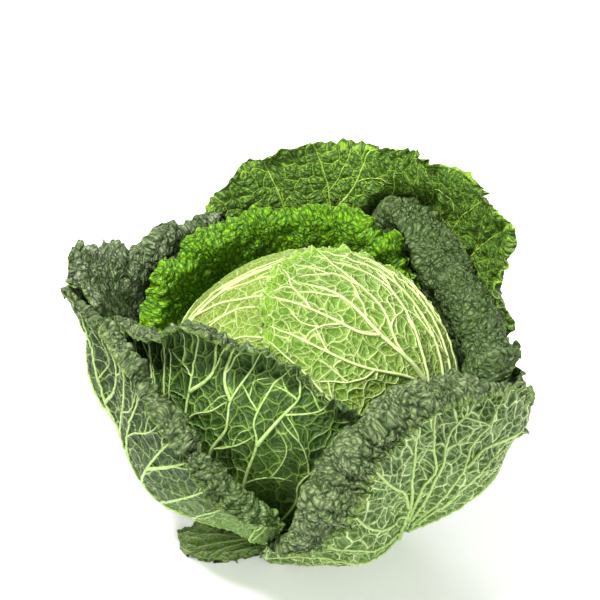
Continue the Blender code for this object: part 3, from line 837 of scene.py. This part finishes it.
def bent_sheet(rows, p):
    """The smoothest bent sheet through the rows, at places p."""
    rows = np.array(rows, float)
    places, middle = rows[:, :2] / 100, rows[0, 2]
    rows[:, 2] = (rows[:, 2] - middle + 180) % 360 - 180
    n = len(rows)
    side = np.hstack([np.ones((n, 1)), places])
    top = np.hstack([springy(places, places) + 0.02 * np.eye(n), side])
    whole = np.vstack([top, np.hstack([side.T, np.zeros((3, 3))])])
    w = np.linalg.solve(whole, np.vstack([rows[:, 2:], np.zeros((3, 3))]))
    v = springy(p, places) @ w[:n] + w[n] + p @ w[n + 1:]
    return round_point(v[..., 0] + middle, np.maximum(v[..., 1], 9), v[..., 2])


def round_table(table, angle):
    """A value from a table of (degrees, value) that goes smoothly round the leaf."""
    t = np.array(sorted(table), float)
    a, v = np.concatenate([t[-1:] - (360, 0), t, t[:1] + (360, 0)]).T
    i = np.clip(np.searchsorted(a, angle, side="right") - 1, 0, len(a) - 2)
    u = smooth_step(angle, a[i], a[i + 1])
    return v[i] * (1 - u) + v[i + 1] * u


def rolled_blade(p, rows, turn, wide, tight):
    """Points of an outer leaf at places p, its margin rolled out."""
    q = length(p)
    way = np.where(q[..., None] > 1e-9, p / np.maximum(q, 1e-9)[..., None], np.array([0.0, 1.0]))
    inner = 1 - MARGIN
    q0 = (np.minimum(q, inner) / inner)[..., None]
    at = bent_sheet(rows, way * q0)
    d = 0.02
    out = unit(at - bent_sheet(rows, way * (q0 - d)))
    psi = disc(way)[1]
    around = bent_sheet(rows, np.stack([np.sin(psi + d), np.cos(psi + d)], -1) * q0) - at
    first, right, above = bent_sheet(rows, np.array([[0, 0], [0.1, 0], [0, 0.1]]))
    facing = np.dot(np.cross(right - first, above - first), first - CENTRE)
    normal = -np.sign(facing) * unit(np.cross(out, around))
    bend = np.maximum(np.radians(round_table(turn, np.degrees(psi))), 0.02)
    width = round_table(wide, np.degrees(psi))
    r = np.minimum(width / bend, np.maximum(tight, 0.3 / bend))
    run = np.maximum((q - inner) / MARGIN, 0) * width
    a = np.minimum(run / r, bend)
    rest = (run - r * a)[..., None]
    a, r = a[..., None], r[..., None]
    rolled = r * (np.sin(a) * out + (1 - np.cos(a)) * normal)
    return at + rolled + rest * (np.cos(a) * out + np.sin(a) * normal)


def room_at(p):
    """How much of a full layer a leaf takes: little where the stalk ends pack together."""
    t = np.clip((np.hypot(p[..., 0], p[..., 1]) - 14) / 46, 0, 1)
    return 0.42 + 0.58 * smooth_step(np.maximum(t, np.clip((p[..., 2] - 40) / 30, 0, 1)), 0, 1)


def off_floor(g):
    world = to_world(g)
    world[..., 2] = np.maximum(world[..., 2], FLOOR)
    return to_world(world, -LEAN)


def outer_form(seed, ruffle, *leaf):
    """The leaf's form: rolled, ruffled towards its margin, and clear of the leaves inside it."""
    phases = np.random.default_rng(seed).uniform(0, 2 * np.pi, 4)

    def ruffled(p):
        inward = p * (1 - NUDGE)
        grid = rolled_blade(inward, *leaf)
        across = rolled_blade(inward + [NUDGE, 0], *leaf) - grid
        upward = rolled_blade(inward + [0, NUDGE], *leaf) - grid
        normal = unit(np.cross(across, upward))
        q, psi = disc(p)
        s = 0
        for (k, a), phase in zip(RUFFLES, phases):
            s = s + a * np.sin(k * psi + phase + 2.0 * q)
        grow = np.clip((q - 0.45) / 0.55, 0, 1) ** 2 * np.clip((p[..., 1] + 1) / 0.5, 0, 1)
        return rolled_blade(p, *leaf) + normal * (ruffle * s * grow)[..., None]

    raw = ruffled(leaf_places(EVEN, EVEN))
    g = raw
    for _ in range(3):
        i, j, r = sky_of(g)
        wrapped = np.concatenate([reach[:, -2:], reach, reach[:, :2]], axis=1)
        need = widened(wrapped)[:, 2:-2][i, j]
        push = np.where(need > 0, np.maximum(need + LAYER * room_at(g) - r, 0), 0)
        push = softened(softened(softened(widened(push))))
        g = g + unit(g - CENTRE) * push[..., None]
    laid_on(off_floor(g))
    shift = g - raw

    def shape(rows, columns, p):
        return off_floor(ruffled(p) + finer(shift, rows, columns))

    return shape


COLLAR_YOUNG = (0.19, 0.42, 0.03)
# Bright green face: partly the leaf's own green, partly painted light coming through it.
COLLAR_FACE_AND_PAINTED_LIGHT = leaf_skin(
    "collar leaf inside", (0.15, 0.39, 0.002), (0.01, 0.06, 0.001), (0.26, 0.47, 0.03),
    COLLAR_YOUNG, (0.28, 0.52, 0.006), (0.12, 0.08, 0.4, 0.5), True,
)
COLLAR_UNDER = leaf_skin(
    "collar leaf outside", (0.07, 0.2, 0.025), (0.14, 0.3, 0.05), (0.4, 0.56, 0.17),
    COLLAR_YOUNG, (0.12, 0.25, 0.08), (0.7, 0.4, 0.35, 0.4),
)
OUTER_RIB = rib_skin("outer rib", (0.39, 0.52, 0.2), (0.27, 0.42, 0.095), (0.18, 0.4, 0.02))
OUTER_GROOVE = rib_skin(
    "outer groove vein", (0.3, 0.46, 0.12), (0.2, 0.36, 0.06), (0.3, 0.5, 0.08),
)


def outer_leaf(
    node, fineness, face, back, seed, ruffle, tight, rows, turn, wide, pocket=1.6,
    groove=OUTER_GROOVE, slot="outer_leaf", **more,
):
    form = outer_form(seed, ruffle, rows, turn, wide, tight)
    leaf_piece(
        node, slot, form, fineness, seed, pocket, OUTER_CRINKLE, OUTER_RIBS,
        [face, back, OUTER_RIB, groove], tight=room_at, **more,
    )


outer_leaf(
    "leaf_collar", 104, COLLAR_FACE_AND_PAINTED_LIGHT, COLLAR_UNDER, seed=2, ruffle=3.0, tight=8,
    slot="collar_leaf", cobbles=0.2,
    rows=[
        (0, -100, -165, 15, 22), (0, -50, -165, 70, 54), (0, 0, -165, 93, 110), (0, 50, -168, 91, 142),
        (0, 100, -169, 86, 164), (-50, 87, -145, 86, 160), (-80, 60, -131, 88, 157),
        (-97, 25, -124, 91, 148), (-100, 0, -117, 92, 138), (-95, -30, -108, 92, 108),
        (-75, -66, -120, 72, 56), (50, 87, 165, 88, 159), (80, 60, 151, 90, 148),
        (97, 25, 145, 91, 140), (100, 0, 143, 93, 129), (95, -30, 140, 93, 100), (75, -66, 150, 72, 56),
    ],
    turn=[(0, 110), (90, 100), (-90, 100), (180, 0)],
    wide=[(0, 14), (180, 8)],
)


# The front left leaf. It stands between the head and the two lower leaves, its back to the viewer:
# pockets painted dark with shade between pale ribs that fan out of the bottom, and a thin rolled edge
# that shows the waxy blue-green of its face.
OUTER_YOUNG = (0.13, 0.34, 0.012)
OUTER_LINE = (0.2, 0.34, 0.05)
OUTER_UPPER = leaf_skin(
    "outer leaf face", (0.125, 0.195, 0.058), (0.005, 0.018, 0.001), OUTER_LINE, OUTER_YOUNG,
    (0.28, 0.345, 0.165), (0.12, 0.05, 0.5, 0.6), True,
)
# A dark back skin: partly the leaves' own dark green, partly painted shade for the front left leaf that
# stands inside the outer leaves.
SHADED_OUTER_BACK = leaf_skin(
    "outer leaf back", (0.015, 0.05, 0.002), (0.036, 0.094, 0.005), (0.23, 0.37, 0.065),
    (0.2, 0.42, 0.03), (0.075, 0.13, 0.036), (0.75, 0.22, 0.3, 0.45),
    frill=(0.075, 0.115, 0.048),
)
outer_leaf(
    "leaf_front_left", 165, OUTER_UPPER, SHADED_OUTER_BACK, seed=5, ruffle=2.5, tight=7,
    ribs=[
        [(0, -100), (-5, -50), (-10, 0), (-5, 50), (0, 90)],
        [(-8, -5), (-2, 19), (11, 59), (20, 86)],
        [(-7, -20), (2, 6), (14, 25), (22, 38), (35, 66)],
        [(20, 34), (36, 41), (44, 56)],
        [(-5, -36), (10, -3), (26, 8), (38, 22), (61, 38)],
        [(37, 21), (42, 37), (52, 50)],
        [(-3, -55), (17, -19), (33, -4), (40, 7), (65, 24)],
        [(33, -4), (66, 9)],
        [(-2, -70), (5, -42), (21, -36), (36, -29), (43, -23), (68, -21)],
        [(2, -85), (25, -60), (60, -50)],
        [(-8, -10), (-25, 20), (-40, 70)],
        [(-6, -40), (-35, -10), (-65, 35)],
        [(-3, -70), (-40, -40), (-80, -5)],
    ],
    rows=[
        (0, -100, -45, 17, 16), (0, -55, -45, 62, 38), (0, 0, -45, 90, 107), (0, 50, -58, 88, 139),
        (0, 100, -69, 82, 161), (50, 87, -36, 75, 173), (80, 60, -19, 71, 161), (97, 25, -1, 78, 145),
        (100, 0, 8, 86, 132), (93, -36, 18, 92, 112), (75, -66, 12, 72, 44), (45, -89, 0, 40, 20),
        (-70, 70, -88, 92, 150), (-100, 0, -88, 96, 105), (-75, -66, -78, 74, 54),
        (50, 0, -13, 91, 129), (-45, -89, -75, 40, 24),
    ],
    turn=[(0, 120), (45, 135), (90, 110), (-60, 70), (-90, 30), (180, 0)],
    wide=[(0, 18), (45, 18), (90, 14), (180, 6)],
)


# The right leaf. Its whole upper edge is rolled out and down into a long dark crinkled band that
# runs from behind the head to the right of it.
RIGHT_UPPER = leaf_skin(
    "right leaf face", (0.095, 0.165, 0.034), (0.005, 0.022, 0.001), OUTER_LINE, OUTER_YOUNG,
    (0.2, 0.265, 0.12), (0.12, 0.05, 0.45, 0.6), True,
)
outer_leaf(
    "leaf_right", 134, RIGHT_UPPER, SHADED_OUTER_BACK, seed=7, ruffle=2.0, tight=12, cobbles=0.4,
    rows=[
        (0, -100, 105, 17, 12), (0, -50, 105, 72, 46), (0, 0, 105, 93, 84), (0, 50, 104, 91, 106),
        (0, 100, 104, 88, 119), (-50, 87, 125, 91, 136), (-80, 60, 143, 96, 152),
        (-100, 0, 150, 100, 120), (-75, -66, 140, 78, 58), (50, 87, 90, 89, 108), (80, 60, 78, 92, 98),
        (100, 0, 74, 94, 80), (75, -66, 75, 74, 42),
    ],
    turn=[(0, 180), (-50, 180), (40, 175), (75, 110), (105, 20), (-85, 90), (180, 0)],
    wide=[(0, 42), (-50, 38), (50, 38), (90, 10), (180, 6)],
)


# The left back leaf. It shows its waxy blistered face at the upper left, with a deeply ruffled
# edge.
LEFT_BACK_UPPER = leaf_skin(
    "left back leaf face", (0.15, 0.225, 0.08), (0.005, 0.018, 0.001), OUTER_LINE, OUTER_YOUNG,
    (0.36, 0.42, 0.26), (0.12, 0.05, 0.45, 0.65), True,
)
DIM_GROOVE = rib_skin("sunken vein", (0.17, 0.26, 0.09), (0.11, 0.19, 0.045), (0.2, 0.36, 0.05))
outer_leaf(
    "leaf_left_back", 116, LEFT_BACK_UPPER, SHADED_OUTER_BACK, seed=3, ruffle=4.0, tight=9,
    groove=DIM_GROOVE, grooves=True, cobbles=0.2,
    rows=[
        (0, -100, -125, 17, 13), (0, -50, -125, 80, 54), (0, 0, -122, 106, 112),
        (0, 50, -111, 109, 163), (0, 100, -114, 112, 178), (-50, 87, -102, 116, 189),
        (-80, 60, -98, 112, 174), (-97, 25, -99, 105, 150), (-100, 0, -100, 101, 123),
        (-75, -66, -106, 74, 56), (50, 87, -133, 110, 169), (80, 60, -147, 111, 167),
        (97, 25, -156, 112, 161), (100, 0, -162, 110, 135), (75, -66, -158, 78, 60),
    ],
    turn=[(0, 60), (90, 40), (-90, 60), (180, 0)],
    wide=[(0, 10), (180, 6)],
)


# The back leaf. The tallest, an open fan behind the head that shows its face, with the light coming
# through it in places. Its face is painted a brighter green, partly its own colour and partly painted
# light coming through it.
BACK_FACE_AND_PAINTED_LIGHT = leaf_skin(
    "back leaf face", (0.13, 0.275, 0.016), (0.01, 0.056, 0.001), (0.35, 0.6, 0.04),
    OUTER_YOUNG, (0.2, 0.31, 0.075), (0.6, 0.1, 0.35, 0.5), True,
)
BACK_GROOVE = rib_skin(
    "back leaf vein", (0.42, 0.62, 0.11), (0.31, 0.52, 0.05), (0.34, 0.54, 0.06),
)
outer_leaf(
    "leaf_back", 156, BACK_FACE_AND_PAINTED_LIGHT, SHADED_OUTER_BACK, seed=1, ruffle=3.5, tight=9, groove=BACK_GROOVE,
    grooves=True, cobbles=0.2,
    ribs=[
        [(0, -100), (2, -50), (0, -10), (-2, 10), (1, 40), (3, 73)],
        [(1, -30), (-10, 0), (-24, 24), (-32, 42), (-42, 62)],
        [(-24, 24), (-20, 42), (-19, 60)],
        [(1, -40), (10, -10), (15, 14), (14, 35)],
        [(2, -50), (16, -20), (30, 10), (38, 30)],
        [(2, -60), (26, -18), (50, 12), (74, 39)],
        [(2, -70), (40, -35), (85, -10)],
        [(1, -50), (-30, -10), (-55, 30)],
        [(0, -65), (-40, -40), (-85, 0)],
    ],
    rows=[
        (0, -100, 150, 19, 8), (0, -50, 150, 86, 54), (0, 0, 160, 112, 118), (0, 50, 150, 118, 159),
        (0, 100, 145, 122, 190), (-50, 87, 166, 123, 193), (-80, 60, -176, 125, 190),
        (-97, 25, -166, 125, 180), (-100, 0, -157, 123, 167), (-90, -43, -158, 112, 118),
        (-75, -66, -165, 88, 68), (50, 87, 130, 120, 188), (80, 60, 99, 124, 178),
        (97, 25, 97, 125, 163), (100, 0, 99, 120, 138), (90, -43, 102, 112, 98), (75, -66, 108, 90, 56),
    ],
    turn=[(0, 20), (90, 30), (-90, 20), (180, 0)],
    wide=[(0, 4), (180, 4)],
)


# The low right leaf. It lies under the rolled leaf on the right, and only its crinkled edge and
# a strip of its face show from the front.
outer_leaf(
    "leaf_right_low", 80, OUTER_UPPER, SHADED_OUTER_BACK, seed=9, ruffle=3.0, tight=9, grooves=True,
    cobbles=0.2,
    rows=[
        (0, -100, 85, 17, 6), (0, -50, 85, 72, 34), (0, 0, 86, 100, 64), (0, 50, 86, 106, 79),
        (0, 100, 84, 108, 90), (-70, 70, 110, 110, 84), (-100, 0, 122, 104, 60),
        (-75, -66, 122, 72, 32), (70, 70, 68, 101, 96), (100, 0, 58, 96, 70), (75, -66, 55, 70, 38),
    ],
    turn=[(0, 50), (180, 0)],
    wide=[(0, 10), (180, 5)],
)


# The left leaf. A large leaf whose back faces left, its front edge folded over into a broad
# crinkled band that runs down to the bottom.
SHADED_UNDER = leaf_skin(
    "left leaf back", (0.012, 0.036, 0.005), (0.055, 0.105, 0.02), (0.34, 0.46, 0.165),
    (0.2, 0.4, 0.03), (0.11, 0.17, 0.065), (0.7, 0.08, 0.35, 0.5),
)
outer_leaf(
    "leaf_left", 180, OUTER_UPPER, SHADED_UNDER, seed=4, ruffle=3.0, tight=6, pocket=1.9,
    ribs=[
        [(10, -98), (8, -50), (2, -10), (-12, 20), (-20, 55), (-20, 85)],
        [(-12, 20), (5, 42), (25, 72)],
        [(-3, 0), (12, 15), (28, 30), (50, 72)],
        [(4, -20), (15, -2), (30, 14), (55, 30), (80, 45)],
        [(6, -35), (13, -19), (36, -9), (85, 6)],
        [(36, -9), (60, -14), (90, -16)],
        [(7, -50), (12, -30), (50, -33), (88, -40)],
        [(8, -70), (21, -46), (50, -48), (82, -52)],
        [(9, -85), (35, -70), (60, -72)],
        [(-5, 5), (-30, 35), (-50, 75)],
        [(3, -25), (-30, 0), (-70, 40)],
        [(7, -60), (-35, -35), (-85, -10)],
    ],
    rows=[
        (0, -100, -80, 19, 12), (0, -55, -78, 84, 42), (0, 0, -80, 109, 94), (0, 50, -80, 104, 134),
        (0, 100, -79, 100, 166), (50, 87, -71, 97, 170), (80, 60, -54, 99, 162),
        (97, 25, -44, 100, 145), (100, 0, -36, 102, 130), (95, -30, -30, 103, 114),
        (80, -60, -23, 100, 96), (50, -87, -22, 80, 71), (-70, 70, -108, 104, 152),
        (-100, 0, -124, 105, 98), (-75, -66, -110, 82, 48), (-40, -91, -100, 42, 25),
        (10, -90, -78, 40, 24),
    ],
    turn=[
        (0, 90), (20, 120), (60, 145), (90, 150), (120, 145), (150, 60), (-30, 50), (-90, 20),
        (180, 0),
    ],
    wide=[(0, 14), (45, 14), (90, 19), (120, 24), (150, 16), (180, 6), (-60, 10)],
)


# The bottom leaf. A small old leaf that lies on the ground under the left one, its back up, with pale
# ribs that stand out on the side that shows. Its back is painted pale, partly painted light where the
# left leaf shades it.
LOW_BACK_PAINTED_LIGHTER = leaf_skin(
    "lowest leaf back", (0.3, 0.46, 0.12), (0.44, 0.6, 0.2), (0.66, 0.76, 0.4),
    (0.4, 0.6, 0.12), (0.5, 0.62, 0.34), (0.8, 0.15, 0.25, 0.5),
)
outer_leaf(
    "leaf_bottom", 64, OUTER_UPPER, LOW_BACK_PAINTED_LIGHTER, seed=8, ruffle=1.5, tight=9, back_up=True,
    grooves=True,
    ribs=[
        [(0, -100), (0, -30), (2, 40), (0, 90)],
        [(0, -70), (35, -30), (65, 30)],
        [(0, -35), (25, 10), (42, 70)],
        [(0, -70), (-35, -30), (-65, 30)],
        [(0, -35), (-22, 10), (-40, 70)],
    ],
    rows=[
        (0, -100, -80, 24, 3), (0, -40, -80, 52, 9), (0, 30, -80, 76, 14), (0, 100, -78, 86, 18),
        (-70, 70, -92, 84, 20), (-100, 0, -112, 66, 12), (-70, -70, -112, 34, 5), (70, 70, -70, 72, 14),
        (100, 0, -68, 58, 11), (70, -70, -66, 34, 6),
    ],
    turn=[(0, 20), (180, 0)],
    wide=[(0, 6), (180, 4)],
)


# The front right leaf. The outermost leaf, its ribs fanning up out of the stalk end at the
# bottom right. Its left side is folded over into a broad dark blistered flap, and its top edge
# rolls out.
WAXY_UNDER = leaf_skin(
    "waxy leaf back", (0.026, 0.07, 0.007), (0.24, 0.38, 0.095), (0.56, 0.68, 0.32),
    (0.24, 0.44, 0.06), (0.29, 0.4, 0.175), (0.95, 0.16, 0.35, 0.55),
)
outer_leaf(
    "leaf_front_right", 200, OUTER_UPPER, WAXY_UNDER, seed=6, ruffle=2.5, tight=9, pocket=2.1,
    ribs=[
        [(0, -100), (-3, -70), (-10, -40), (-7, -20), (-7, -14), (-10, 10), (-18, 50)],
        [(-8, -20), (-12, -10), (-23, -2), (-50, 12)],
        [(-7, -28), (-3, -10), (3, 4), (-2, 40)],
        [(-6, -30), (1, -8), (7, 8), (11, 30)],
        [(-5, -33), (6, -12), (15, 4), (19, 12), (28, 34)],
        [(15, 3), (31, 17), (46, 24), (70, 40)],
        [(-5, -37), (5, -20), (26, 0), (60, 10)],
        [(-6, -42), (15, -26), (50, -12)],
        [(-8, -25), (-24, -20), (-35, -17), (-60, -10)],
        [(-9, -36), (-27, -28), (-38, -30), (-65, -30)],
        [(-9, -42), (-31, -35), (-46, -42), (-70, -50)],
        [(-4, -70), (30, -50), (70, -45)],
    ],
    rows=[
        (0, -100, 75, 17, 4), (0, -78, 75, 37, 8), (2, -45, 52, 60, 33), (0, 0, 40, 92, 81),
        (0, 50, 43, 102, 107), (0, 100, 46, 104, 125), (-50, 87, 31, 102, 134), (-80, 60, 20, 102, 128),
        (-97, 25, 11, 102, 116), (-100, 0, 5, 103, 103), (-95, -30, -1, 96, 83),
        (-85, -53, -12, 80, 54), (-70, -71, -50, 54, 14), (-40, -92, -15, 30, 5),
        (50, 87, 61, 109, 108), (80, 60, 80, 115, 82), (97, 25, 84, 117, 63), (100, 0, 84, 112, 53),
        (90, -43, 85, 92, 36), (75, -66, 87, 68, 18), (40, -92, 105, 30, 2),
    ],
    turn=[
        (0, 155), (22, 140), (38, 75), (54, 15), (76, 0), (90, 0), (-30, 160), (-60, 160),
        (-90, 158), (-108, 140), (-130, 20), (135, 0), (180, 0),
    ],
    wide=[
        (0, 27), (22, 19), (38, 8), (54, 4), (76, 12), (90, 9), (-60, 37), (-90, 44),
        (-105, 38), (-124, 8), (180, 5),
    ],
)


# The studio: a wide white sweep of floor, soft light from all round with the brightest from the
# upper left, and the camera where the photograph was taken from.
TILT = np.radians(27)
FAR = 1.100
SCALE = 1760.0
PICTURE = 600
PICTURE_MIDDLE = PICTURE / 2
HEAD_PIXEL = (310, 395)
SENSOR = 36
LIT_POINT = (-0.02, 0, 0.1)


def aimed(name, data, place, way):
    holder = placed(name, data)
    holder.location = place
    holder.rotation_euler = Vector(way).to_track_quat("-Z", "Y").to_euler()
    return holder


def floor():
    bpy.ops.mesh.primitive_grid_add(x_subdivisions=2, y_subdivisions=2, size=6.0)
    sweep = bpy.context.object
    sweep.name = "floor"
    material, finish, *_ = wired("white sweep")
    finish(
        Base_Color=(0.93, 0.93, 0.93), Roughness=0.85, Specular_IOR_Level=0.1,
        Emission_Color=(1, 1, 1), Emission_Strength=0.32,
    )
    sweep.data.materials.append(material)


def soft_light(name, place, size, power, tint=(1, 1, 1)):
    lamp = bpy.data.lights.new(name, "AREA")
    lamp.shape = "DISK"
    lamp.size = size
    lamp.energy = power
    lamp.color = tint
    aimed(name, lamp, place, Vector(LIT_POINT) - Vector(place))


floor()
soft_light("key", (-0.5, -0.4, 1.35), 0.32, 37.0, (1.0, 0.985, 0.97))
soft_light("back", (0.35, 0.95, 1.0), 0.8, 9.0)
soft_light("fill", (0.45, -1.2, 0.45), 0.9, 9.5)
sky = bpy.data.worlds.new("studio")
sky.use_nodes = True
sky.node_tree.nodes["Background"].inputs["Color"].default_value = (1, 1, 1, 1)
sky.node_tree.nodes["Background"].inputs["Strength"].default_value = 0.36
bpy.context.scene.world = sky
bpy.context.scene.view_settings.view_transform = "Standard"

sight = np.array([0, np.cos(TILT), -np.sin(TILT)])
upward = np.array([0, np.sin(TILT), np.cos(TILT)])
aside = np.array([(PICTURE_MIDDLE - HEAD_PIXEL[0]) / SCALE, 0, 0])
aim = to_world(CENTRE) * MM + aside + (HEAD_PIXEL[1] - PICTURE_MIDDLE) / SCALE * upward
lens = bpy.data.cameras.new("camera")
lens.sensor_width = SENSOR
lens.lens = FAR * SCALE * SENSOR / PICTURE
bpy.context.scene.camera = aimed("camera", lens, aim - FAR * sight, sight)
